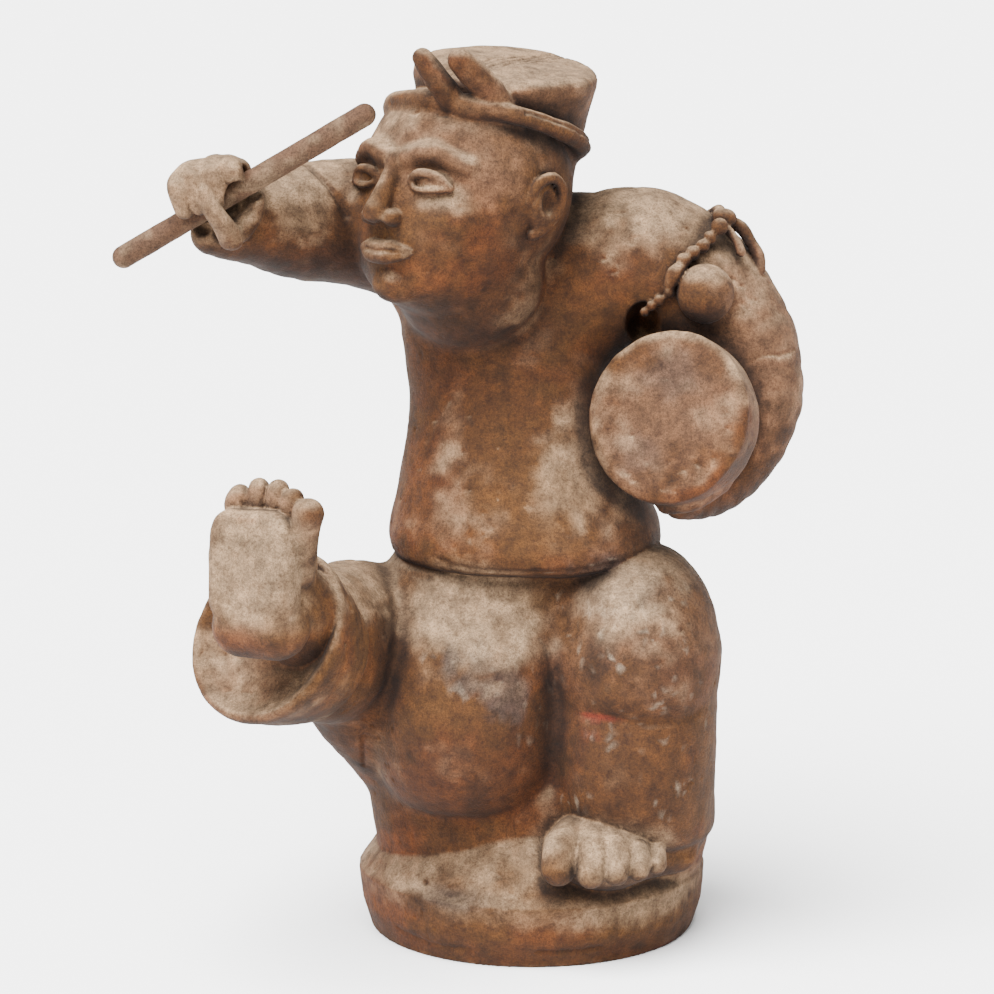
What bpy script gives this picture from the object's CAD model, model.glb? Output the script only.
"""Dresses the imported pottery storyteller: one hand-modelled clay figure and its loose drumstick.

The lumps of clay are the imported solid's own, blended as wet clay would be, then scored, dented and
fired. Places and proportions are hundredths of the figure's height, as in the part's source.
"""
import math

import bpy
import numpy as np
import openvdb
from mathutils import Matrix, Vector


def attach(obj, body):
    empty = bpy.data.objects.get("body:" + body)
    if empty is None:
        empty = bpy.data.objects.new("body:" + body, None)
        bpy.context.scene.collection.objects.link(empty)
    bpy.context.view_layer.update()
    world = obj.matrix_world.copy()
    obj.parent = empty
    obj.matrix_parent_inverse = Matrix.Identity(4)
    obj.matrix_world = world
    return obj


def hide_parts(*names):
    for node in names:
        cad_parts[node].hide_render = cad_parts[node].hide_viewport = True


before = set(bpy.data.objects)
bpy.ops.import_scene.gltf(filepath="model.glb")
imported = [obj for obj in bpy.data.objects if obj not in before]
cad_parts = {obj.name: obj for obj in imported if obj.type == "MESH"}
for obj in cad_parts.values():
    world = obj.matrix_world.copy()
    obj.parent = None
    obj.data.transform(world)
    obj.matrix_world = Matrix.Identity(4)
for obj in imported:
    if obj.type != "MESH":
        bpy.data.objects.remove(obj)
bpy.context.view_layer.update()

# The part's driving sizes, in millimetres.
FIGURE_HEIGHT = 500.0
BASE_FOOT_RADIUS = 100.0
BASE_RADIUS = 108.0
BASE_TOP_RADIUS = 99.0
BASE_SIDE_HEIGHT = 38.0
BASE_HEIGHT = 50.0
BASE_CROWN = 24.0
DRUM_RADIUS = 52.0
DRUM_DEPTH = 34.0
DRUM_EDGE = 7.0
DRUM_WIDTH = 0.95  # a share of its height
STICK_RADIUS = 6.8
STICK_LENGTH = 164.0
GRIP_CLEARANCE = 0.5
BEAD_RADIUS = 4.0
BEADS_BEHIND = 14
FIRST_BEAD_BEHIND = -20  # degrees round the arm
BEAD_TURN = 9  # degrees from bead to bead
LOOP_RADIUS = 10.5  # hundredths

SHARE = FIGURE_HEIGHT / 100
METRE = 0.001
FINE_STEP = 1.25
COARSE_STEP = 5.0
CELLS = 8  # samples along each side of a block
HALF_DIAGONAL = 0.87  # of a block, as a share of its side
MARGIN = 12  # room round the clay, in millimetres
BAND = 3.0  # the fine grid keeps distances up to this far from the surface
FAR = 1000.0
TRIANGLES = 196_000
STACK_ROWS = 120
STACK_END_BLEND = 6.0
NOISE_CELLS = 32
NOISE_SHIFT = 1000

# The camera, at the photograph's height and distance.
CAMERA_DISTANCE = 2.2
CAMERA_ELEVATION = math.radians(11)
CAMERA_TARGET = Vector((-0.0215, 0, 0.2685))
SENSOR_WIDTH = 36
FOCAL_SHARE = 3.608  # focal length as a share of the sensor's width


def make_camera():
    data = bpy.data.cameras.new("camera")
    data.sensor_width = SENSOR_WIDTH
    data.lens = SENSOR_WIDTH * FOCAL_SHARE
    camera = bpy.data.objects.new("camera", data)
    back = Vector((0, -math.cos(CAMERA_ELEVATION), math.sin(CAMERA_ELEVATION)))
    camera.location = CAMERA_TARGET + back * CAMERA_DISTANCE
    camera.rotation_euler = back.to_track_quat("Z", "Y").to_euler()
    bpy.context.scene.collection.objects.link(camera)
    bpy.context.scene.camera = camera


# Local frames, in hundredths of the figure's height above the top of the base.
class Place:
    """An origin with a pitch, a roll and a yaw in degrees, and how much its forms grow."""

    def __init__(self, origin, pitch=0.0, roll=0.0, yaw=0.0, grow=1.0):
        self.grow = grow
        self.origin = np.asarray(origin, float) * SHARE + (0, 0, BASE_HEIGHT)
        turn = Matrix.Rotation(math.radians(yaw), 3, "Z")
        turn = turn @ Matrix.Rotation(math.radians(pitch), 3, "X")
        self.turn = np.array(turn @ Matrix.Rotation(math.radians(roll), 3, "Y"))

    def out(self, point):
        """A point of this place, in millimetres of the whole part."""
        return self.origin + self.turn @ (np.asarray(point, float) * SHARE * self.grow)

    def inward(self, x, y, z):
        """Coordinates of the whole part, in millimetres of this place."""
        x, y, z = (v - np.float32(o) for v, o in zip((x, y, z), self.origin))
        turn = (self.turn / self.grow).astype(np.float32)
        return [x * turn[0, k] + y * turn[1, k] + z * turn[2, k] for k in range(3)]


WHOLE = Place((0, 0, 0))
HEAD = Place((-8.8, -6.4, 80.7), -11, 0, -41, grow=1.09)
CAP = Place((-3.8, -1, 87.4), 8, 4, 0)
CAP_BAND = Place((-5.4, -3.6, 89.4), -16, 12, 0)
RAISED_FOOT = Place((-31, -34.5, 42), -4, 0, -24)
CUFF = Place((-30.6, -27, 32.6), -29, 0, -38)
DRUM = Place((15.6, -15.2, 56.4), -17, 0, -23)
FIST = Place((-37.4, -17.2, 84), 0, -9, 0)
STICK_RISE = np.array((29, -2, 17.1))
STICK_GRIP = (-38.2, -17.7, 81.1)
GRIP_AT = 0.338


def soft_min(a, b, k):
    """The smaller of two distances, rounded over k millimetres where they are alike."""
    k = np.maximum(k, 0.01)
    near = np.maximum(k - np.abs(a - b), 0) / k
    return np.minimum(a, b) - near * near * (k / 4)


class Lump:
    """A lump of clay: its distance function, the box it fills, and how softly it joins or cuts.

    The blend is in millimetres, one number or pairs of (height in hundredths, blend).
    """

    def __init__(self, distance, corners, blend, cut=False):
        self.heights = None
        if isinstance(blend, (list, tuple)):
            self.heights = [height * SHARE + BASE_HEIGHT for height, _ in blend]
            blend = [soft for _, soft in blend]
        reach = np.max(blend) + BAND
        corners = np.asarray(corners, float)
        self.distance = distance
        self.low = corners.min(0) - reach
        self.high = corners.max(0) + reach
        self.blend = blend
        self.cut = cut

    def press(self, clay, x, y, z):
        d = self.distance(x, y, z)
        k = self.blend
        if self.heights:
            k = np.interp(z, self.heights, self.blend).astype(np.float32)
        if self.cut:
            return -soft_min(-clay, d, k)
        return soft_min(clay, d, k)


def box_corners(place, centre, half):
    signs = np.array(np.meshgrid([-1, 1], [-1, 1], [-1, 1])).reshape(3, -1).T
    return [place.out(np.asarray(centre) + s * np.asarray(half)) for s in signs]


def ball(centre, radii, blend=3.0, place=WHOLE, cut=False):
    """An ellipsoid."""
    c = np.asarray(centre, float) * SHARE
    r = np.asarray(radii, float) * SHARE

    def distance(x, y, z):
        p = [(q - c[k]) / r[k] for k, q in enumerate(place.inward(x, y, z))]
        near = np.sqrt(p[0] ** 2 + p[1] ** 2 + p[2] ** 2) + 1e-6
        slope = np.sqrt((p[0] / r[0]) ** 2 + (p[1] / r[1]) ** 2 + (p[2] / r[2]) ** 2) + 1e-9
        return near * (near - 1) / slope

    return Lump(distance, box_corners(place, centre, radii), blend, cut)


def rounded(a, b):
    """The distance to where two distances are both below zero, round at the corner."""
    return np.hypot(np.maximum(a, 0), np.maximum(b, 0)) + np.minimum(np.maximum(a, b), 0)


def slab(centre, half, corner, edge, blend=3.0, place=WHOLE):
    """A flat form facing along Y, with rounded corners and softer edges."""
    c = np.asarray(centre, float) * SHARE
    wide, thick, high = (np.asarray(half, float)) * SHARE
    corner, edge = corner * SHARE, edge * SHARE

    def distance(x, y, z):
        lx, ly, lz = (v - c[k] for k, v in enumerate(place.inward(x, y, z)))
        outline = rounded(np.abs(lx) - wide + corner, np.abs(lz) - high + corner)
        return rounded(outline - corner + edge, np.abs(ly) - thick + edge) - edge

    return Lump(distance, box_corners(place, centre, half), blend)


def smooth_value(values, t):
    """One smooth value through a short list of stations, at 0 to 1 along it."""
    spot = t * (len(values) - 1)
    i = min(int(spot), len(values) - 2)
    around = range(i - 1, i + 3)
    before, here, there, after = (values[min(max(k, 0), len(values) - 1)] for k in around)
    u = spot - i
    slope_in, slope_out, rise = (there - before) / 2, (after - here) / 2, there - here
    square = (3 * rise - 2 * slope_in - slope_out) * u**2
    cube = (slope_in + slope_out - 2 * rise) * u**3
    return here + slope_in * u + square + cube


def smooth_path(stations, steps):
    stations = np.asarray(stations, float)
    return np.array([smooth_value(stations, step / steps) for step in range(steps + 1)])


def limb(stations, blend=2.0, place=WHOLE, steps=None, cut=False, tall=1.0):
    """A rounded tube through stations of [x, y, z, radius], its section drawn tall by a share."""
    path = smooth_path(stations, steps or 3 * (len(stations) - 1))
    points = np.array([place.out(p[:3]) for p in path])
    radii = path[:, 3] * SHARE * place.grow
    squat = np.array((1, 1, 1 / tall))

    def distance(x, y, z):
        best = None
        for a, b, ra, rb in zip(points[:-1] * squat, points[1:] * squat, radii[:-1], radii[1:]):
            ba = b - a
            dx, dy, dz = x - a[0], y - a[1], z / tall - a[2]
            t = np.clip((dx * ba[0] + dy * ba[1] + dz * ba[2]) / (ba @ ba), 0, 1)
            d = np.sqrt((dx - t * ba[0]) ** 2 + (dy - t * ba[1]) ** 2 + (dz - t * ba[2]) ** 2)
            d = d - (ra + (rb - ra) * t)
            best = d if best is None else np.minimum(best, d)
        return best

    reach = radii[:, None] * (1, 1, tall)
    return Lump(distance, np.concatenate([points - reach, points + reach]), blend, cut)


def stack(levels, power, blend=3.0):
    """A level form: stations of [height, middle x, middle y, half width, half depth]."""
    rows = smooth_path(levels, STACK_ROWS)
    height = rows[:, 0] * SHARE + BASE_HEIGHT
    columns = rows[:, 1:] * SHARE
    lean = 1 / np.sqrt(1 + np.gradient(columns[:, 2:].mean(1), height) ** 2)

    def distance(x, y, z):
        cx, cy, rx, ry = (np.interp(z, height, columns[:, k]).astype(np.float32) for k in range(4))
        px, py = np.abs(x - cx), np.abs(y - cy)
        share = ((px / rx) ** power + (py / ry) ** power) ** (1 / power) + 1e-3
        reach = np.sqrt(px**2 + py**2)
        side = (reach - reach / share) * np.interp(z, height, lean).astype(np.float32)
        ends = np.maximum(height[0] - z, z - height[-1])
        return -soft_min(-side, -ends + 0 * side, STACK_END_BLEND)

    sides = [
        (cx + sx * rx, cy + sy * ry, h)
        for h, (cx, cy, rx, ry) in zip(height, columns)
        for sx in (-1, 1)
        for sy in (-1, 1)
    ]
    return Lump(distance, sides, blend)


def turned(profile, place, axis, blend=2.0, cut=False, wide=1.0):
    """A form turned about an axis of its place: (radius, distance along) in millimetres."""
    profile = [np.asarray(p, float) for p in profile]
    reach = max(p[0] for p in profile)
    span = [p[1] for p in profile]

    def distance(x, y, z):
        local = place.inward(x, y, z)
        along = local.pop(axis)
        r = np.sqrt((local[0] / wide) ** 2 + local[1] ** 2)
        nearest = np.full(r.shape, FAR**2, np.float32)
        inside = np.zeros(r.shape, bool)
        for a, b in zip(profile[:-1], profile[1:]):
            if a[0] or b[0]:
                e = b - a
                t = np.clip(((r - a[0]) * e[0] + (along - a[1]) * e[1]) / (e @ e), 0, 1)
                gap = (r - a[0] - t * e[0]) ** 2 + (along - a[1] - t * e[1]) ** 2
                nearest = np.minimum(nearest, gap)
            if a[1] != b[1]:
                between = (a[1] > along) != (b[1] > along)
                inside ^= between & (r < a[0] + (along - a[1]) * (b[0] - a[0]) / (b[1] - a[1]))
        return np.where(inside, -1, 1) * np.sqrt(nearest)

    half = np.full(3, reach / SHARE)
    half[axis] = (max(span) - min(span)) / 2 / SHARE
    centre = np.zeros(3)
    centre[axis] = (max(span) + min(span)) / 2 / SHARE
    return Lump(distance, box_corners(place, centre, half), blend, cut)


def ring(place, radius, thickness, blend=1.5):
    """A roll of clay bent into a ring about the place's Z axis."""
    big, small = radius * SHARE, thickness * SHARE

    def distance(x, y, z):
        lx, ly, lz = place.inward(x, y, z)
        return np.sqrt((np.sqrt(lx**2 + ly**2) - big) ** 2 + lz**2) - small

    reach = radius + thickness
    return Lump(distance, box_corners(place, (0, 0, 0), (reach, reach, thickness)), blend)


# The modelled forms, from the base up.
def base():
    profile = [
        (0, -BASE_HEIGHT),
        (BASE_FOOT_RADIUS, -BASE_HEIGHT),
        (BASE_RADIUS - 2, BASE_SIDE_HEIGHT * 0.45 - BASE_HEIGHT),
        (BASE_RADIUS, BASE_SIDE_HEIGHT - BASE_HEIGHT),
        (BASE_TOP_RADIUS, 0),
        (BASE_TOP_RADIUS * 0.8, BASE_CROWN),
        (0, BASE_CROWN),
    ]
    return [turned(profile, WHOLE, axis=2, blend=0)]


def hips():
    seat = [
        (-4, 0.5, 0.5, 19.2, 16),
        (2, 0, 0.4, 19.6, 16.2),
        (5, 0, 0.6, 20.1, 16.4),
        (10, -0.3, 1, 20.3, 16),
        (15, -0.6, 2, 20.1, 14.6),
        (22, -0.8, 2.6, 19.5, 13.8),
        (29, -1, 2.2, 18, 13.6),
        (36, -1, 0.6, 15, 13.4),
        (39, -1, 0, 13.6, 12.4),
    ]
    lap = [
        (6.4, -7.6, -5, 6.6, 8.2),
        (8.4, -7.6, -5, 9.6, 12),
        (11.4, -7.7, -5.2, 11.2, 14.2),
        (16, -7.7, -5.4, 12, 15.2),
        (22, -7.6, -5.4, 12.2, 15.2),
        (29, -7.2, -4.6, 12, 13.4),
        (36, -8, -3.4, 8, 9),
    ]
    return [stack(seat, 2.3, blend=1.5), stack(lap, 2.1, blend=[(10, 6), (18, 20), (28, 26)])]


def left_leg():
    shin = [
        (-2, 13, -2.5, 8.2, 9.8),
        (2.6, 12.9, -4.4, 8.9, 11.6),
        (4.8, 12.8, -5.8, 9.7, 13),
        (9, 12.4, -7.2, 10, 13.5),
        (16, 12.2, -8, 10.2, 13.6),
        (21, 12.3, -7.8, 10.2, 12.9),
        (27, 12.4, -7.6, 10, 12),
    ]
    knee = [
        (19.4, 12.3, -7.6, 8, 10.4),
        (22, 12.3, -7.9, 10.2, 13.3),
        (28, 12.5, -7.8, 10.3, 13.4),
        (33.5, 12.6, -7.4, 8.7, 11.2),
        (37.6, 12.6, -7, 5.6, 7.2),
        (39.6, 12.6, -6.8, 1.6, 2.4),
    ]
    return [
        stack(shin, 2.2, blend=[(8, 4), (14, 14), (24, 14)]),
        stack(knee, 2.1, blend=[(22, 3), (26, 8), (34, 18)]),
    ]


def left_foot():
    lumps = [
        ball((8.4, -15.4, 3.6), (7, 7, 5), blend=1.5),
        limb([(12, -15.6, 3, 3.4), (17.6, -12.6, 2.2, 2.4)], blend=4),
    ]
    toes = [
        ((5, -17, 5.2, 2.6), (3.6, -20.2, 4.8, 2.5), (3, -22.1, 2.9, 2.1)),
        ((7.6, -17.6, 5.6, 2.2), (7, -21.2, 4.9, 2), (6.8, -23.2, 2.6, 1.8)),
        ((9.8, -17.4, 5.4, 2), (9.9, -20.9, 4.7, 1.8), (9.8, -22.7, 2.6, 1.6)),
        ((11.6, -16.8, 5, 1.9), (12.4, -19.8, 4.4, 1.6), (12.5, -21.6, 2.7, 1.4)),
        ((13, -16, 4.4, 1.8), (14.3, -18.2, 4.1, 1.5), (14.7, -19.8, 2.9, 1.3)),
    ]
    return lumps + [limb(toe, blend=1.6) for toe in toes]


def right_leg():
    thigh = [
        (-10, 3, 20.4, 8.4),
        (-17.6, 0.2, 24.2, 8.8),
        (-22.4, -7, 27, 8.5),
        (-25.2, -16, 28.6, 7.6),
    ]
    web = [(-10.4, 0, 5, 8), (-13.8, -1, 13, 8.6), (-19.2, -6, 20.6, 8.4)]
    flare = [(0, 12.6), (5.4, 11.6), (8, 8.6), (9.4, 4.6), (10.2, 1.6), (10.7, 0.1)]
    flare += [(10.7, -0.7), (10.3, -1.2), (9.7, -1), (8.8, -0.1), (7, 0.5), (0, 0.6)]
    return [
        limb(thigh, blend=8, tall=1.2),
        limb(web, blend=[(8, 2), (16, 8)]),
        turned([(r * SHARE, along * SHARE) for r, along in flare], CUFF, axis=1, blend=6),
    ]


def raised_foot():
    place = RAISED_FOOT
    lumps = [
        limb([(0.9, 3, -3.4, 5), (1.8, 9, -7.4, 5.6)], blend=2, place=place),
        ball((1.1, 1.6, 0.6), (4.8, 3.6, 7), blend=2, place=place),
        limb([(-1.7, -0.5, -6.4, 3.7), (2.3, -0.5, -6.4, 3.7)], blend=5, place=place),
        slab((0.3, -2.2, 0.5), (5.4, 1.9, 6.7), 3, 1.4, blend=4, place=place),
        ball((0.2, -6.9, 0), (5.4, 3, 7.2), blend=2, place=place, cut=True),
    ]
    toes = [
        ((-3, 0.4, 4.6, 1.4), (-2.9, -0.6, 7.2, 1.55), (-2.5, -0.8, 8.3, 1.4)),
        ((-0.4, 0.4, 4.6, 1.3), (-0.2, -0.7, 7.8, 1.35), (0, -0.9, 9.4, 1.25)),
        ((2, 0.4, 4.6, 1.3), (2.3, -0.8, 7.8, 1.35), (2.5, -1, 9.4, 1.28)),
        ((3.8, 0.2, 4.6, 1.3), (4.3, -1.2, 7.4, 1.35), (4.6, -1.6, 8.6, 1.28)),
        ((4.2, 0.6, 0, 2), (5.9, -1.2, 4.6, 1.7), (6.9, -2.2, 7.2, 1.75)),
    ]
    return lumps + [limb(toe, blend=1.2, place=place) for toe in toes]


def trunk():
    chest = [
        (36, -0.8, -0.4, 12, 11.6),
        (37.2, -0.8, -1, 15.6, 14.4),
        (38.6, -0.8, -1.2, 16.5, 15.1),
        (41, -0.9, -1.2, 16.5, 14.9),
        (47, -1.4, -0.6, 14.8, 13.2),
        (56, -2.2, 0.8, 12.9, 11.2),
        (66, -3.4, 2, 12.6, 10.4),
        (74, -4, 3, 11.4, 9.4),
        (80, -3.4, 3, 8.6, 8),
    ]
    return [
        stack(chest, 2.3, blend=0.8),
        ball((1, 5.5, 67), (14, 9.2, 13), blend=14),
        ball((2.4, -10.6, 39.2), (8, 5.2, 2.8), blend=4),
    ]


LEFT_ARM = [
    (8, 3, 70, 10.4),
    (13.4, 2, 71.6, 9.9),
    (20, 0.5, 68.4, 8.6),
    (25, -1.5, 62.8, 7.1),
    (26.7, -3.5, 56.4, 5.9),
    (24.8, -6, 50.4, 4.9),
    (21, -9.4, 47, 3.9),
    (17.8, -12.4, 46, 2.6),
]


def left_arm():
    lumps = [limb(LEFT_ARM[:4], blend=12), limb(LEFT_ARM[2:], blend=4, steps=15)]
    lumps.append(ball((13.2, -6.4, 65.8), (2.1, 5, 3), blend=1.5, cut=True))
    for finger in range(4):
        y = -9 - 1.9 * finger
        spine = [
            (22, y + 0.6, 46.8 + 0.5 * finger, 1.5),
            (19, y, 45.6 + 0.3 * finger, 1.5),
            (15.8, y - 0.4, 45.8, 1.2),
        ]
        lumps.append(limb(spine, blend=1.2))
    return lumps


def drum():
    profile = [
        (0, DRUM_DEPTH),
        (DRUM_RADIUS * 0.94, DRUM_DEPTH),
        (DRUM_RADIUS * 0.98, DRUM_DEPTH * 0.8),
    ]
    for k in range(7):
        turn = k / 6 * math.pi / 2
        radius = DRUM_RADIUS - DRUM_EDGE * (1 - math.cos(turn))
        profile.append((radius, DRUM_EDGE * 0.6 * (1 - math.sin(turn))))
    profile.append((DRUM_RADIUS * 0.5, 0.6))
    profile.append((0, 0))
    return [turned(profile, DRUM, axis=1, blend=2.5, wide=DRUM_WIDTH)]


def armlet():
    """A string of beads round the arm, tied on top, with an amulet in front."""
    front = [
        (22.3, -5.4, 77.6, 1.3),
        (21.1, -6, 76.4, 1),
        (20.2, -6.8, 75.5, 1),
        (19, -7.5, 74.7, 1),
        (17.9, -8, 73.9, 1),
        (16.2, -8.5, 70.2, 0.8),
        (15, -8.4, 69.2, 0.8),
        (14.1, -8.1, 68.5, 0.8),
        (13.3, -7.7, 67.7, 0.8),
    ]
    lumps = [ball(bead[:3], np.full(3, 0.86 * bead[3]), blend=0.2) for bead in front]
    lumps.append(limb([(*bead[:3], 0.3) for bead in front], blend=0.2))
    middle = np.array((15.9, 1.4, 70.6))
    over_top, back = np.array((0.645, 0, 0.764)), np.array((0, 1, 0))
    for bead in range(BEADS_BEHIND):
        turn = math.radians(FIRST_BEAD_BEHIND + bead * BEAD_TURN)
        centre = middle + LOOP_RADIUS * (over_top * math.cos(turn) + back * math.sin(turn))
        lumps.append(ball(centre, np.full(3, BEAD_RADIUS / SHARE), blend=0.25))
    long_bead = [(17.9, -8.2, 73.4, 0.5), (16.9, -8.7, 72.4, 1), (16.2, -8.7, 71, 0.6)]
    lumps += [
        limb(long_bead, blend=0.5),
        ball((23, -2.8, 78.4), (1.5, 1.4, 1.2), blend=0.8),
        limb([(23.2, -4, 77.2, 0.6), (24.4, -5, 75.8, 0.55), (24.9, -5.4, 74.6, 0.6)], blend=0.5),
        limb([(23.4, -2, 78.2, 0.7), (25.2, -2, 77, 0.75), (26.2, -2.4, 75.4, 0.7)], blend=0.6),
        limb([(26.2, -2.4, 75.4, 0.7), (27.2, -2.6, 73.8, 0.75), (27.4, -3.2, 72.2, 0.6)], blend=0.6),
        ball((20.5, -8.6, 70), (3.4, 3.2, 3.6), blend=1),
    ]
    return lumps


def right_arm():
    arm = [
        (-6, 4, 72, 10),
        (-14, 1.5, 76, 8.6),
        (-22, -3, 78, 7.6),
        (-28.5, -7.5, 78.6, 6.8),
        (-33, -11, 79.4, 5.4),
    ]
    lumps = [
        limb(arm, blend=12),
        limb([(-31, -10.4, 79, 5.2), (-34.6, -13.4, 78.8, 4.4), (-37.2, -15.8, 78.2, 2.7)], blend=4),
        ball((-36.6, -13.8, 82), (4.6, 3.2, 4.6), blend=3),
        slab((0, 0, 0), (4.3, 3.4, 3), 2.4, 2.2, blend=2, place=FIST),
    ]
    fingers = [
        (-40.8, 85.2, 81.4, 1.3),
        (-39, 86.4, 82, 1.4),
        (-37, 86.9, 82.8, 1.5),
        (-34.9, 86.7, 84.6, 1.4),
    ]
    for x, top, low, size in fingers:
        spine = [
            (x + 0.5, -14.6, top - 1.4, size),
            (x, -17.6, top - 0.9, size),
            (x - 0.1, -19.9, (top + low) / 2 + 0.4, size),
            (x + 0.5, -20.2, low, size * 0.85),
        ]
        lumps.append(limb(spine, blend=0.9))
    thumb = [
        (-37.8, -20.6, 83.2, 1.3),
        (-36.9, -21.3, 81.4, 1.1),
        (-35.9, -21, 79.8, 1.1),
        (-35, -19.4, 78, 1.5),
    ]
    palm_edge = [
        (-33.6, -18.2, 85, 1.1),
        (-32.4, -17.2, 82.8, 1),
        (-32.6, -17, 80.6, 1.1),
        (-34.2, -18.2, 78.6, 1.4),
    ]
    lumps += [
        limb(thumb, 1.2),
        limb(palm_edge, 1.2),
        ball((-34.2, -20, 82.6), (1.5, 3.6, 2.3), blend=0.6, cut=True),
        ball((-38.7, -19.6, 78.9), (1.6, 3, 1.2), blend=0.8, cut=True),
    ]
    return lumps


def stick_place():
    place = Place(STICK_GRIP)
    along = Vector(STICK_RISE).normalized()
    place.turn = np.array(Vector((0, 0, 1)).rotation_difference(along).to_matrix())
    return place


def grip_hole():
    snug = STICK_RADIUS + GRIP_CLEARANCE
    reach = FIGURE_HEIGHT * 0.1
    profile = [(0, -reach), (snug, -reach), (snug, reach * 0.1)]
    profile += [(snug * 1.4, reach * 0.3), (snug * 1.6, reach), (0, reach)]
    return [turned(profile, stick_place(), axis=2, blend=0.6, cut=True)]


def head():
    place = HEAD
    lumps = [
        ball((0, 1, 2.2), (11.2, 12, 11.6), blend=1.5, place=place),
        ball((0, -1.6, -2.8), (9.6, 10.2, 10), blend=5, place=place),
        ball((0, 3, -8), (8.6, 8, 8), blend=6, place=place),
        ball((0, -3.6, -7.6), (7.2, 6.8, 4.8), blend=4, place=place),
        ball((0, -8.8, -10), (2.6, 2.2, 1.9), blend=4, place=place),
    ]
    for side in (-1, 1):
        brow = [
            (side * 1.5, -10.9, 3.7, 0.8),
            (side * 4.4, -10.4, 4.5, 0.9),
            (side * 7.6, -8.2, 3.4, 0.7),
        ]
        lumps += [
            ball((side * 5.2, -6.8, -2.4), (3.6, 4, 3.2), blend=5, place=place),
            limb(brow, 7, place),
            ball((side * 4.4, -12.3, 1.4), (3, 1.6, 1.6), blend=4, place=place, cut=True),
            ball((side * 4.4, -9.1, 1.2), (2.3, 1.9, 1.5), blend=0.8, place=place),
            eyelid(side, lift=1.05, size=0.5),
            eyelid(side, lift=-0.75, size=0.38),
        ]
    lumps += [
        limb([(0, -11, 3.4, 0.8), (0, -12, 0.4, 1), (0, -13.1, -2.2, 1.25)], 4, place),
        ball((0, -13.3, -2.6), (1.35, 1.2, 1.1), blend=2, place=place),
    ]
    for side in (-1, 1):
        lumps += [
            ball((side * 1.5, -12.2, -2.9), (1, 1.2, 0.9), blend=2, place=place),
            ball((side * 0.75, -13, -3.7), (0.42, 0.6, 0.45), blend=0.6, place=place, cut=True),
            *ear(side),
        ]
    lumps += [
        lip([(3.6, -10.7, -6.3, 0.3), (1.4, -11.6, -5.95, 0.7), (0, -11.7, -6.1, 0.68)]),
        lip([(3.1, -10.7, -6.6, 0.35), (1.4, -11.4, -6.95, 0.75), (0, -11.5, -7.05, 0.8)]),
        lip([(4, -10.9, -6.4, 0.2), (1.4, -12.2, -6.45, 0.3), (0, -12.35, -6.55, 0.3)], cut=True),
        ball((0, -12.2, -8.7), (2, 0.9, 0.55), blend=1.5, place=place, cut=True),
    ]
    return lumps


def eyelid(side, lift, size):
    """A lid's rim, curved over the eye."""
    corners = [
        (2.3, -10.6, 1.1),
        (3.2, -11.1, 1.1 + lift * 0.8),
        (4.5, -11.1, 1.1 + lift),
        (5.9, -10.3, 1.1 + lift * 0.7),
        (6.7, -9.5, 0.9),
    ]
    return limb([(side * x, y, z, size) for x, y, z in corners], 0.6, HEAD)


def lip(half, cut=False):
    """A mouth's curve, the same on both sides."""
    whole = [(-x, y, z, size) for x, y, z, size in half] + [tuple(point) for point in half[-2::-1]]
    return limb(whole, 0.6 if cut else 1, HEAD, cut=cut)


def ear(side):
    """A rounded rim with a hollow inside it and a small lobe."""
    rim = [(10.8, -1, 0.8), (11.5, -0.7, 2.7), (12.1, 1, 3.6), (12.2, 2.6, 2.4)]
    rim += [(11.8, 2.7, 0.2), (11.2, 1.5, -1.8), (10.8, 0.2, -2.8)]
    return [
        ball((side * 11, 1, 0.4), (1.2, 1.9, 3), blend=1.5, place=HEAD),
        limb([(side * x, y, z, 0.62) for x, y, z in rim], 0.8, HEAD),
        ball((side * 12.4, 0.9, 0.9), (1.1, 1.1, 1.6), blend=0.8, place=HEAD, cut=True),
    ]


def cap():
    crown = [(0, -6), (8.8, -5), (9.3, -1), (10.2, 4), (11, 7.6)]
    crown += [(11, 8.6), (10.5, 9.2), (9.6, 9.5), (0, 10)]
    far_horn = [
        (-9, -13.2, 92.6, 1.6),
        (-10.6, -14.2, 95, 1.45),
        (-12, -15, 97, 1.4),
        (-12.9, -15.2, 98.3, 1.2),
    ]
    near_horn = [
        (-3.4, -12.6, 91.8, 1.6),
        (-5, -13.8, 94.2, 1.8),
        (-7.1, -15, 96.6, 1.6),
        (-8.6, -15.9, 98.1, 1.4),
    ]
    return [
        turned([(r * SHARE, along * SHARE) for r, along in crown], CAP, axis=2, blend=1),
        ring(CAP_BAND, 11.4, 1.2, blend=4),
        ball((-6.4, -13.6, 92.4), (3.4, 2, 1.7), blend=1.5),
        limb(far_horn, 1),
        limb(near_horn, 1),
    ]


def all_lumps():
    parts = [base(), hips(), left_leg(), left_foot(), right_leg(), raised_foot(), trunk()]
    parts += [left_arm(), drum(), armlet(), right_arm(), head(), cap(), grip_hole()]
    return [lump for part in parts for lump in part]


def sculpt(lumps, origins, step):
    """The clay's distance at CELLS samples a side of each block."""
    line = np.arange(CELLS, dtype=np.float32) * step
    clay = np.full((len(origins), CELLS, CELLS, CELLS), FAR, np.float32)
    size = step * (CELLS - 1)
    for lump in lumps:
        near = np.nonzero(np.all((origins + size > lump.low) & (origins < lump.high), axis=1))[0]
        if len(near):
            o = origins[near].astype(np.float32)
            x = o[:, 0, None, None, None] + line[None, :, None, None]
            y = o[:, 1, None, None, None] + line[None, None, :, None]
            z = o[:, 2, None, None, None] + line[None, None, None, :]
            clay[near] = lump.press(clay[near], x, y, z)
    return clay


def join_blocks(blocks, count):
    """Blocks in rows, columns and layers as one array."""
    whole = blocks.reshape(*count, CELLS, CELLS, CELLS).transpose(0, 3, 1, 4, 2, 5)
    return whole.reshape([n * CELLS for n in count])


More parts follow.
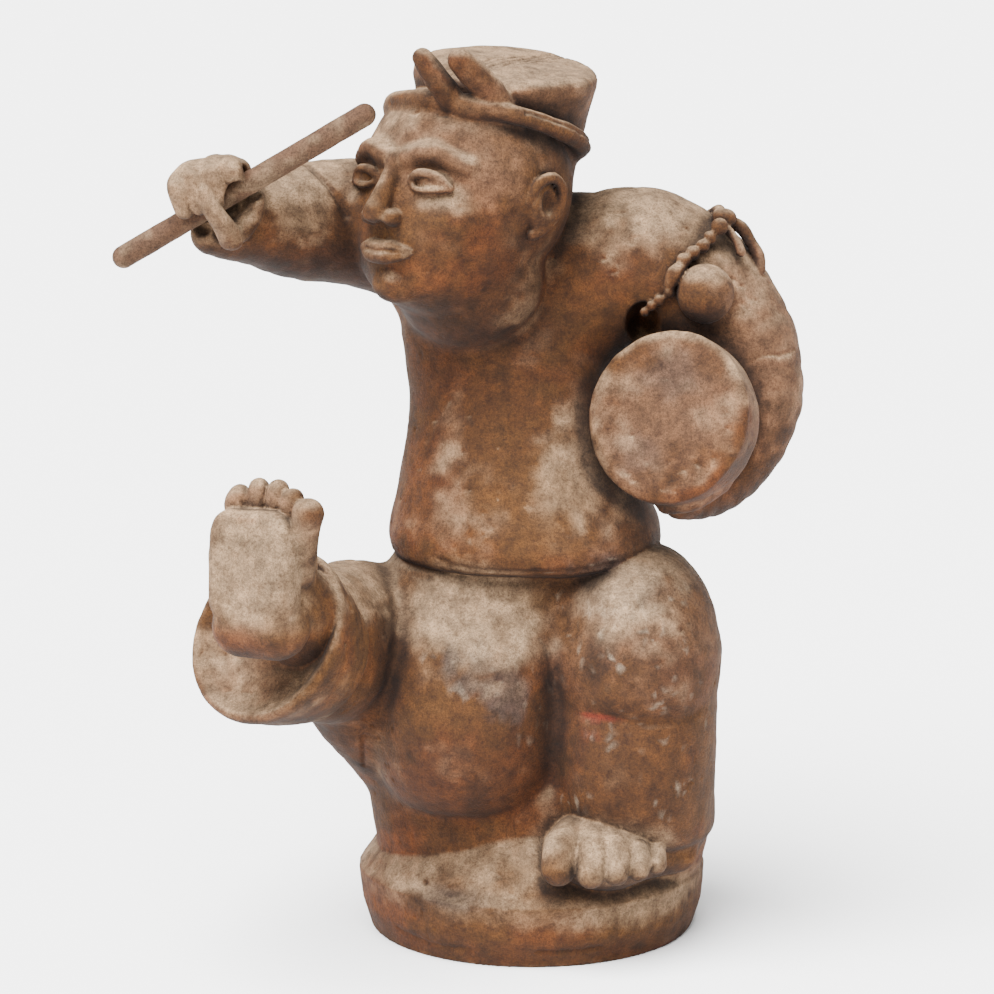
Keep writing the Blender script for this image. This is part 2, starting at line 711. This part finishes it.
def cell_indices(count):
    """Every cell of a grid of so many rows, columns and layers."""
    lines = [np.arange(n) for n in count]
    return np.stack(np.meshgrid(*lines, indexing="ij"), -1).reshape(-1, 3)


def cell_corners(u):
    """The eight corners of a cell, each with its share at the spots u inside the cell."""
    for corner in np.ndindex(2, 2, 2):
        x, y, z = (np.abs(1 - corner[k] - u[:, k]) for k in range(3))
        yield corner, x * y * z


def read_grid(grid, spot):
    """Values between a grid's samples."""
    spot = np.clip(spot, 0, np.array(grid.shape) - 1.001)
    i = spot.astype(int)
    total = 0
    for corner, share in cell_corners(spot - i):
        total = total + share * grid[tuple((i + corner).T)]
    return total


class Clay:
    """The whole figure as distances on a regular grid, fine near its surface."""

    def __init__(self, lumps):
        added = [lump for lump in lumps if not lump.cut]
        self.low = np.min([lump.low for lump in added], axis=0) - MARGIN
        room = np.max([lump.high for lump in added], axis=0) + MARGIN - self.low
        big, small = CELLS * COARSE_STEP, CELLS * FINE_STEP
        count = np.ceil(room / big).astype(int)
        blocks = sculpt(lumps, self.low + cell_indices(count) * big, COARSE_STEP)
        self.coarse = join_blocks(blocks, count)
        count = np.ceil(room / small).astype(int)
        cells = cell_indices(count)
        depth = self.sample(self.low + (cells + 0.5) * small)
        near = np.abs(depth) < small * HALF_DIAGONAL + COARSE_STEP
        blocks = np.full((len(cells), CELLS, CELLS, CELLS), BAND, np.float32)
        blocks[depth < 0] = -BAND
        clay = sculpt(lumps, self.low + cells[near] * small, FINE_STEP)
        blocks[near] = np.clip(clay, -BAND, BAND)
        self.fine = join_blocks(blocks, count)

    def sample(self, points):
        """The distance at any points, from the coarse grid."""
        return read_grid(self.coarse, (points - self.low) / COARSE_STEP)

    def sample_fine(self, points):
        """The distance near the surface, from the fine grid."""
        return read_grid(self.fine, (points - self.low) / FINE_STEP)

    def surface(self):
        """Points in millimetres, and quads."""
        grid = openvdb.FloatGrid(BAND)
        grid.copyFromArray(self.fine)
        points, quads = grid.convertToQuads(0.0)
        return points * FINE_STEP + self.low, quads.astype(np.int64)


def largest_shell(points, quads):
    """Drops any pocket left inside the clay."""
    label = np.arange(len(points))
    while True:
        lowest = label[quads].min(axis=1)
        before = label.copy()
        for corner in range(4):
            np.minimum.at(label, quads[:, corner], lowest)
        label = label[label]
        if np.array_equal(before, label):
            break
    names, counts = np.unique(label[quads[:, 0]], return_counts=True)
    kept = quads[label[quads[:, 0]] == names[counts.argmax()]]
    used, packed = np.unique(kept, return_inverse=True)
    return points[used], packed.reshape(kept.shape)


def noise(points, size, seed):
    """Smooth random values from -1 to 1, with lumps of about the given size in millimetres."""
    table = np.random.RandomState(seed).uniform(-1, 1, (NOISE_CELLS, NOISE_CELLS, NOISE_CELLS))
    spot = points / size + NOISE_SHIFT
    i = np.floor(spot).astype(int)
    u = spot - i
    total = 0
    for corner, share in cell_corners(u * u * (3 - 2 * u)):
        total = total + share * table[tuple(((i + corner) % NOISE_CELLS).T)]
    return total


def mesh_object(name, points, faces):
    """A mesh in metres, from points in millimetres."""
    mesh = bpy.data.meshes.new(name)
    faces = np.asarray(faces)
    corners = faces.shape[1]
    mesh.vertices.add(len(points))
    mesh.vertices.foreach_set("co", (points * METRE).astype(np.float32).ravel())
    mesh.loops.add(faces.size)
    mesh.loops.foreach_set("vertex_index", faces.astype(np.int32).ravel())
    mesh.polygons.add(len(faces))
    mesh.polygons.foreach_set("loop_start", np.arange(0, faces.size, corners, dtype=np.int32))
    mesh.update(calc_edges=True)
    mesh.validate()
    made = bpy.data.objects.new(name, mesh)
    bpy.context.scene.collection.objects.link(made)
    return made


def vertex_data(mesh):
    """Points and normals, in millimetres."""
    points = np.empty(len(mesh.vertices) * 3, np.float32)
    mesh.vertices.foreach_get("co", points)
    normals = np.empty(len(mesh.vertices) * 3, np.float32)
    mesh.vertex_normals.foreach_get("vector", normals)
    return points.reshape(-1, 3).astype(float) / METRE, normals.reshape(-1, 3).astype(float)


# Cracks, creases and tool marks: stations in hundredths, then depth and width in millimetres.
SCORES = [
    ([(-20.2, -13.3, 17.4), (-20.5, -11.6, 14.6), (-20.6, -9.4, 12.2)], 1.6, 1.3),
    ([(25.7, -9, 61.6), (27.6, -8.6, 62.6), (29.6, -7.4, 62.4), (31.4, -5.4, 62.8)], 1.0, 1.2),
    ([(-12.6, -14.6, 38.6), (-8, -16, 37.6), (-2, -16.6, 37), (4, -16, 37.4), (10, -14, 38)], 1.2, 2.0),
    ([(-27, -7.6, 86.4), (-25, -10.4, 85), (-23, -11.6, 82.4), (-21.8, -12, 79.6)], 2.2, 2.2),
    ([(-1, -14.4, 91.8), (3, -12.6, 90.6), (6.4, -9, 89.2), (8.6, -4, 87.8), (8.8, 2, 86.8)], 1.4, 1.6),
    ([(0.6, -19.6, -7.4), (4, -19.8, -7.8), (8, -18.6, -7.6)], 1.3, 1.6),
    ([(-16, -12.6, -7.2), (-12, -15.8, -7.8), (-7, -18.4, -7.6)], 0.9, 1.8),
    ([(22.6, -7, 14.8), (23.4, -3, 14.2), (23.4, 2, 14)], 2.6, 2.4),
    ([(8, -20.4, 21.2), (12, -21.2, 20.6), (16, -20.4, 20.4), (20, -17.6, 20.8)], 0.9, 2.6),
]
PITS = [
    (-22.1, -32, 32.8, 2.6, 1.5),
    (-12.9, -15.5, -1, 1.8, 1.4),
    (-8.4, -3, 97, 2, 1.2),
    (-6, -4.6, 97, 1.6, 1.2),
]
CAP_STROKES = 15
CAP_STROKE_DEPTH, CAP_STROKE_WIDTH = 0.9, 1.1
# Uneven clay: height, size and seed of each layer, in millimetres.
RIPPLES = [(0.75, 42, 1), (0.45, 15, 2), (0.24, 5.5, 3)]
POCK_DEPTH = 3.2


def near_path(points, path):
    """Each point's distance from a path once the path is laid on the surface."""
    low, high = path.min(0) - MARGIN, path.max(0) + MARGIN
    near = np.nonzero(np.all((points > low) & (points < high), axis=1))[0]
    away = np.full(len(points), FAR)
    if len(near) == 0:
        return away
    skin = points[near]
    laid = np.array([skin[np.argmin(((skin - spot) ** 2).sum(1))] for spot in path])
    best = np.full(len(near), FAR)
    for a, b in zip(laid[:-1], laid[1:]):
        step = b - a
        share = np.clip(((skin - a) @ step) / max(step @ step, 1e-9), 0, 1)
        best = np.minimum(best, np.linalg.norm(skin - a - share[:, None] * step, axis=1))
    away[near] = best
    return away


def cap_stroke(index):
    """One of the hatched tool marks across the cap's top."""
    across = -8.4 + 16.8 * index / (CAP_STROKES - 1)
    half = 0.86 * math.sqrt(max(10.6**2 - across**2, 0))
    wander = 0.35 * math.sin(index * 2.3)
    start = (across * 0.8 - 0.6 * half + wander, across * 0.6 - 0.8 * half)
    end = (across * 0.8 + 0.6 * half, across * 0.6 + 0.8 * half - wander)
    base_top = (0, 0, BASE_HEIGHT / SHARE)
    return [tuple(CAP.out((x, y, 10)) / SHARE - base_top) for x, y in (start, end)]


def weather(points):
    """How far each point of the fired clay stands out from the modelled form, in millimetres."""
    out = sum(height * noise(points, size, seed) for height, size, seed in RIPPLES)
    strokes = [cap_stroke(index) for index in range(CAP_STROKES)]
    marks = SCORES + [(stroke, CAP_STROKE_DEPTH, CAP_STROKE_WIDTH) for stroke in strokes]
    for stations, depth, width in marks:
        path = smooth_path([WHOLE.out(spot) for spot in stations], 6 * len(stations))
        wander = np.stack([noise(path, 9, seed) for seed in (4, 5, 6)], -1)
        away = near_path(points, path + 0.4 * wander)
        out = out - depth * np.exp(-((away / width) ** 2))
    for x, y, z, depth, width in PITS:
        spot = points[np.argmin(((points - WHOLE.out((x, y, z))) ** 2).sum(1))]
        out = out - depth * np.exp(-((points - spot) ** 2).sum(1) / width**2)
    pocks = np.clip(noise(points, 4.2, 7) - 0.62, 0, 1) * np.clip(0.4 + noise(points, 30, 8), 0, 1)
    return (out - POCK_DEPTH * pocks) * np.clip(points[:, 2] / 4, 0, 1)


# The clay's colours as a camera shows them in soft light, 0 to 255.
OCHRE = (150, 98, 46)
BROWN = (110, 62, 26)
ORANGE = (166, 88, 34)
PINK = (190, 140, 104)
CREAM = (248, 208, 164)
SOOT = (96, 88, 86)
CHALK = (226, 204, 178)
RED = (168, 70, 40)
GRIME = (46, 24, 13)
ALBEDO = 0.176  # the share of those colours that the bright studio light needs

# Patches of colour: colour, strength, middle and reach in hundredths, and how much they break up.
PATCHES = [
    (ORANGE, 0.6, (-17, -9, -4), (10, 10, 8), 0.5),
    (CREAM, 0.5, (12, -14, -3), (13, 9, 3.4), 0.5),
    (SOOT, 0.6, (-10, -18, -1.8), (9, 5, 1.8), 0.7),
    (CREAM, 0.4, (0, -10, -3), (26, 14, 2.4), 0.5),
    (BROWN, 0.7, (0, 0, -8.4), (30, 30, 3), 0.3),
    (ORANGE, 0.4, (-8, -14, 13), (13, 12, 8), 0.6),
    (GRIME, 0.6, (2.4, -14.5, 19), (1.8, 7, 12), 0.3),
    (GRIME, 0.5, (-17.4, -13, 27), (2.6, 8, 9), 0.4),
    (BROWN, 0.5, (-8, -18, 15), (12, 8, 9), 0.7),
    (BROWN, 0.5, (12, -19, 16), (12, 9, 18), 0.6),
    (CREAM, 0.75, (-8.4, -14, 33), (11, 9, 6.4), 0.4),
    (SOOT, 0.75, (-9.8, -18.6, 27.8), (1.6, 2.4, 3), 0.9),
    (SOOT, 0.7, (-6.6, -18.8, 28.6), (1.5, 2.4, 2.4), 0.9),
    (SOOT, 0.65, (-8.2, -19, 24.8), (2.4, 2.4, 1.8), 0.9),
    (GRIME, 0.45, (-1.5, -16.6, 28.4), (1.5, 2.6, 1.9), 0.8),
    (SOOT, 0.6, (-3.4, -19.4, 23.4), (3.2, 3, 4.6), 0.9),
    (PINK, 0.4, (13, -12, 30), (12, 14, 12), 0.6),
    (SOOT, 0.7, (11.6, -14.8, 35.8), (7.4, 6, 3.8), 0.9),
    (GRIME, 0.6, (7.6, -19.8, 27.4), (2.6, 3, 4.8), 1),
    (GRIME, 0.4, (5.4, -18.7, 16.9), (2.2, 2, 2), 0.9),
    (BROWN, 0.45, (17.4, -18, 25), (5, 6, 6), 0.9),
    (RED, 1.0, (7.9, -19.6, 20.9), (3.4, 2.4, 0.6), 0.3),
    (RED, 0.35, (7.2, -19.6, 18.6), (1.6, 2, 0.9), 0.9),
    (CREAM, 0.8, (8.6, -19, 4.4), (9, 8.4, 5), 0.3),
    (CREAM, 0.8, (-31.5, -37.4, 44), (8.6, 6.4, 11), 0.3),
    (ORANGE, 0.7, (-31.6, -36, 34.6), (7, 5, 2.6), 0.4),
    (ORANGE, 0.4, (-31, -37, 50), (7, 4, 1.8), 0.8),
    (PINK, 0.55, (-34, -30, 27.4), (9, 9, 9), 0.4),
    (BROWN, 0.5, (-20, -14, 14), (10, 12, 9), 0.5),
    (BROWN, 0.45, (-6, -8, 57), (14, 9, 18), 0.8),
    (ORANGE, 0.4, (-13, -8, 45), (6, 8, 9), 0.8),
    (CREAM, 0.42, (4.6, -12.4, 48.6), (6.4, 5, 7.6), 0.8),
    (GRIME, 0.4, (-5, -9, 66), (13, 7, 3.6), 0.5),
    (BROWN, 0.4, (12, -3, 77), (9, 8, 7), 0.8),
    (PINK, 0.65, (27, -5, 63), (10, 12, 15), 0.4),
    (PINK, 0.5, (16, -15, 56), (12, 4, 12), 0.5),
    (SOOT, 0.35, (16.4, -13.8, 61), (5.4, 3, 3.4), 0.9),
    (SOOT, 0.3, (13.4, -15.2, 52), (4, 3, 3), 0.9),
    (PINK, 0.6, (-10, -14, 87), (13, 10, 7), 0.5),
    (BROWN, 0.35, (-3, -12, 74), (9, 6, 5), 0.8),
    (PINK, 0.5, (-2, -6, 95), (13, 12, 7), 0.6),
    (ORANGE, 0.3, (2, -4, 97), (9, 8, 2), 0.9),
    (GRIME, 0.85, (-23, -6, 72.6), (15, 12, 5.6), 0.4),
    (CREAM, 0.4, (-27, -13.4, 80.6), (5, 4, 4), 0.8),
    (CREAM, 0.55, (-38, -18.6, 82.6), (7, 6, 7), 0.7),
]
# Specks of chalk: strength, then middle and reach in hundredths.
SPECKS = [
    (0.5, (11, -16, 34.6), (8, 6, 5)),
    (0.6, (8, -20, 27.6), (2.6, 3, 5.4)),
    (0.6, (5, -17.4, 10.6), (2.6, 3, 1.6)),
    (0.7, (16.6, -20, 11.4), (4, 3, 2.6)),
    (0.4, (14, -19, 28), (9, 6, 12)),
    (0.3, (-4, -19, 25), (8, 6, 8)),
]
# Sizes in millimetres and seeds of the noises that vary the colours, from broad to fine.
STAINS = [(70, 11), (26, 12), (9, 13), (3.6, 14)]
# How far out from the skin, in millimetres, clay makes a wide valley, a hollow and a crack.
VALLEY, HOLLOW, CRACK = 30, 12, 2.8
FACE_MIDDLE, FACE_REACH = (0, -9, -1), 48


def linear(colour):
    share = np.asarray(colour, float) / 255
    return ALBEDO * np.where(share <= 0.04045, share / 12.92, ((share + 0.055) / 1.055) ** 2.4)


def smooth_step(low, high, value):
    share = np.clip((value - low) / (high - low), 0, 1)
    return share * share * (3 - 2 * share)


def mixed(colours, colour, weight):
    return colours + (linear(colour) - colours) * np.asarray(weight)[:, None]


def distance_share(points, middle, reach):
    """Distances from a middle, as shares of a reach along each axis, both in hundredths."""
    return np.linalg.norm((points - WHOLE.out(middle)) / (np.array(reach) * SHARE), axis=1)


def shelter(sample, points, normals, depth):
    """How close clay stands in front of each point, from 0 to 1."""
    return 1 - np.clip(sample(points + normals * depth) / depth, 0, 1)


def fired_colours(points, normals, clay):
    """The clay's own colour at each point, as linear light."""
    broad, blotch, mottle, fleck = (noise(points, size, seed) for size, seed in STAINS)
    colours = np.tile(linear(OCHRE), (len(points), 1))
    colours = mixed(colours, BROWN, smooth_step(-0.5, 0.7, broad + 0.5 * mottle) * 0.6)
    colours = mixed(colours, ORANGE, smooth_step(-0.2, 0.8, blotch + 0.4 * mottle) * 0.5)
    ragged = 0.55 * mottle + 0.45 * fleck
    for colour, strength, middle, reach, torn in PATCHES:
        away = distance_share(points, middle, reach)
        weight = smooth_step(0, 0.6, 1.1 - away + torn * (0.7 * blotch + ragged) * 0.6)
        colours = mixed(colours, colour, np.where(away > 2, 0, weight) * strength)
    for strength, middle, reach in SPECKS:
        away = distance_share(points, middle, reach)
        grit = noise(points, 2.2, 15) + 0.5 * noise(points, 9, 16)
        spots = smooth_step(0.3, 0.6, grit - 0.35 * away)
        colours = mixed(colours, CHALK, np.where(away > 1.3, 0, spots) * strength)
    lit = normals[:, 2] + 0.25 * blotch + 0.2 * mottle
    colours = mixed(colours, CREAM, smooth_step(0.24, 0.85, lit) * 0.8)
    colours = mixed(colours, BROWN, smooth_step(0.1, 0.7, -lit) * 0.6)
    colours = mixed(colours, GRIME, smooth_step(0.35, 1, -lit) * 0.6)
    valley = shelter(clay.sample, points, normals, VALLEY)
    hollow = shelter(clay.sample, points, normals, HOLLOW)
    crack = shelter(clay.sample_fine, points, normals, CRACK)
    edge = 1 + np.clip(clay.sample_fine(points - normals * CRACK) / CRACK, -1, 0)
    from_face = np.linalg.norm((points - HEAD.out(FACE_MIDDLE)) / FACE_REACH, axis=1)
    on_face = smooth_step(0, 0.4, 1.3 - from_face)
    colours = mixed(colours, BROWN, smooth_step(0.15, 0.9, valley) * 0.3)
    soiled = smooth_step(0.2, 0.85, hollow + 0.12 * mottle) * 0.75 * (1 - 0.6 * on_face)
    colours = mixed(colours, GRIME, soiled)
    soiled = smooth_step(0.3, 0.9, crack + 0.2 * fleck) * 0.6 * (1 - 0.5 * on_face)
    colours = mixed(colours, GRIME, soiled)
    worn = smooth_step(0.12, 0.5, edge + 0.1 * mottle) * np.clip(1 - 2.5 * hollow - valley, 0, 1)
    colours = mixed(colours, CREAM, worn * 0.35)
    return colours * (1 + 0.24 * mottle + 0.34 * fleck)[:, None]


def paint(piece, colours):
    layer = piece.data.color_attributes.new("fired", "FLOAT_COLOR", "POINT")
    solid = np.concatenate([np.clip(colours, 0, 1), np.ones((len(colours), 1))], axis=1)
    layer.data.foreach_set("color", solid.astype(np.float32).ravel())


def make_figure(lumps):
    clay = Clay(lumps)
    points, quads = largest_shell(*clay.surface())
    figure = mesh_object("storyteller_figure_clay", points, quads)
    points, normals = vertex_data(figure.data)
    points = points + normals * weather(points)[:, None]
    points[:, 2] = np.maximum(points[:, 2], 0)
    figure.data.vertices.foreach_set("co", (points * METRE).astype(np.float32).ravel())
    thin = figure.modifiers.new("thin", "DECIMATE")
    thin.ratio = min(1.0, TRIANGLES / (2 * len(quads)))
    bpy.context.view_layer.update()
    evaluated = figure.evaluated_get(bpy.context.evaluated_depsgraph_get())
    thinned = bpy.data.meshes.new_from_object(evaluated)
    figure.modifiers.clear()
    figure.data = thinned
    thinned.shade_smooth()
    points, normals = vertex_data(thinned)
    paint(figure, fired_colours(points, normals, clay))
    return figure


def make_stick():
    """The loose drumstick, a hand-rolled rod with rounded ends."""
    place = stick_place()
    start = -STICK_LENGTH * GRIP_AT
    rows, sides = 150, 40
    low, high = start - STICK_RADIUS, start + STICK_LENGTH + STICK_RADIUS
    points = []
    for row in range(rows + 1):
        turn = math.pi * row / rows
        along = (low + high) / 2 - (high - low) / 2 * math.cos(turn)
        past = max(start - along, along - start - STICK_LENGTH, 0) / STICK_RADIUS
        radius = STICK_RADIUS * math.sqrt(max(1 - past * past, 1e-6))
        for side in range(sides):
            angle = side / sides * 2 * math.pi
            points.append((radius * math.cos(angle), radius * math.sin(angle), along))
    points = place.origin + np.array(points) @ place.turn.T
    faces = []
    for row in range(rows):
        for side in range(sides):
            after = (side + 1) % sides
            this, above = row * sides, (row + 1) * sides
            faces.append((this + side, this + after, above + after, above + side))
    stick = mesh_object("drumstick_clay", points, faces)
    points, normals = vertex_data(stick.data)
    rough = 0.16 * noise(points, 11, 21) + 0.1 * noise(points, 4, 22) - 0.12
    points = points + normals * rough[:, None]
    stick.data.vertices.foreach_set("co", (points * METRE).astype(np.float32).ravel())
    stick.data.shade_smooth()
    points, normals = vertex_data(stick.data)
    colours = np.tile(linear(PINK) * 0.62, (len(points), 1))
    colours = mixed(colours, BROWN, smooth_step(-0.2, 0.8, noise(points, 16, 23)) * 0.45)
    colours = mixed(colours, CREAM, smooth_step(-0.1, 0.7, noise(points, 7, 24)) * 0.4)
    paint(stick, colours)
    return stick


# The clay's grain: noise scale, detail and roughness, then tints from its dark to its light parts.
GROG = (600, 3, 0.6, [(0.3, (0.5, 0.45, 0.4)), (0.5, (1, 1, 1)), (0.7, (1.3, 1.28, 1.26))])
GRAIN = (1500, 2, 0.6, [(0.28, (0.46, 0.41, 0.36)), (0.52, (1, 1, 1)), (0.75, (1.38, 1.36, 1.34))])
DUST = (130, 5, 0.65, [(0.34, (0.56, 0.51, 0.46)), (0.5, (1, 1, 1)), (0.66, (1.34, 1.31, 1.28))])
TINT_SHARE = 0.8
# Strength and distance in metres of the bumps of the grog and of the grain.
BUMPS = [(0.7, 0.0007), (0.8, 0.0004)]


def noise_node(nodes, links, where, scale, detail, roughness):
    made = nodes.new("ShaderNodeTexNoise")
    made.inputs["Scale"].default_value = scale
    made.inputs["Detail"].default_value = detail
    made.inputs["Roughness"].default_value = roughness
    links.new(where.outputs["Object"], made.inputs["Vector"])
    return made


def ramp_node(nodes, links, source, stops):
    ramp = nodes.new("ShaderNodeValToRGB")
    while len(ramp.color_ramp.elements) < len(stops):
        ramp.color_ramp.elements.new(0.5)
    for element, (position, colour) in zip(ramp.color_ramp.elements, stops):
        element.position = position
        element.color = (*colour, 1)
    links.new(source, ramp.inputs["Fac"])
    return ramp


def tinted(nodes, links, first, second):
    """One colour multiplied by another."""
    made = nodes.new("ShaderNodeMix")
    made.data_type = "RGBA"
    made.blend_type = "MULTIPLY"
    made.inputs["Factor"].default_value = TINT_SHARE
    links.new(first, made.inputs["A"])
    links.new(second, made.inputs["B"])
    return made.outputs["Result"]


def clay_material(name):
    """Coarse fired clay: its painted colour broken up by grog, dust and fine grain."""
    material = bpy.data.materials.new(name)
    material.use_nodes = True
    nodes, links = material.node_tree.nodes, material.node_tree.links
    shader = nodes["Principled BSDF"]
    shader.inputs["Roughness"].default_value = 0.88
    shader.inputs["Specular IOR Level"].default_value = 0.22
    where = nodes.new("ShaderNodeTexCoord")
    fired = nodes.new("ShaderNodeAttribute")
    fired.attribute_name = "fired"
    colour = fired.outputs["Color"]
    heights = []
    for scale, detail, roughness, stops in (GROG, GRAIN, DUST):
        speckle = noise_node(nodes, links, where, scale, detail, roughness).outputs["Fac"]
        tint = ramp_node(nodes, links, speckle, stops)
        colour = tinted(nodes, links, colour, tint.outputs["Color"])
        heights.append(speckle)
    links.new(colour, shader.inputs["Base Color"])
    into = shader.inputs["Normal"]
    for height, (strength, distance) in reversed(list(zip(heights, BUMPS))):
        bump = nodes.new("ShaderNodeBump")
        bump.inputs["Strength"].default_value = strength
        bump.inputs["Distance"].default_value = distance
        links.new(height, bump.inputs["Height"])
        links.new(bump.outputs["Normal"], into)
        into = bump.inputs["Normal"]
    return material


FLOOR_SIZE = 40
PAPER = (0.92, 0.92, 0.92, 1)
SKY_STRENGTH = 0.9
KEY_ENERGY = 18
KEY_SPREAD = math.radians(55)
KEY_DIRECTION = Vector((-0.75, -0.95, 2.3))


def make_studio():
    bpy.ops.mesh.primitive_plane_add(size=FLOOR_SIZE)
    floor = bpy.context.object
    floor.name = "floor"
    paper = bpy.data.materials.new("paper")
    paper.use_nodes = True
    shader = paper.node_tree.nodes["Principled BSDF"]
    shader.inputs["Base Color"].default_value = PAPER
    shader.inputs["Roughness"].default_value = 0.9
    floor.data.materials.append(paper)
    world = bpy.data.worlds.new("studio")
    world.use_nodes = True
    sky = world.node_tree.nodes["Background"]
    sky.inputs["Color"].default_value = (1, 1, 1, 1)
    sky.inputs["Strength"].default_value = SKY_STRENGTH
    bpy.context.scene.world = world
    data = bpy.data.lights.new("key", "SUN")
    data.energy = KEY_ENERGY
    data.angle = KEY_SPREAD
    key = bpy.data.objects.new("key", data)
    key.rotation_euler = KEY_DIRECTION.to_track_quat("Z", "Y").to_euler()
    bpy.context.scene.collection.objects.link(key)


make_camera()
make_studio()
figure = make_figure(all_lumps())
figure.data.materials.append(clay_material("fired_clay"))
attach(figure, "root")
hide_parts("storyteller_figure")
stick = make_stick()
stick.data.materials.append(clay_material("fired_clay_pale"))
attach(stick, "root")
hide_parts("drumstick")
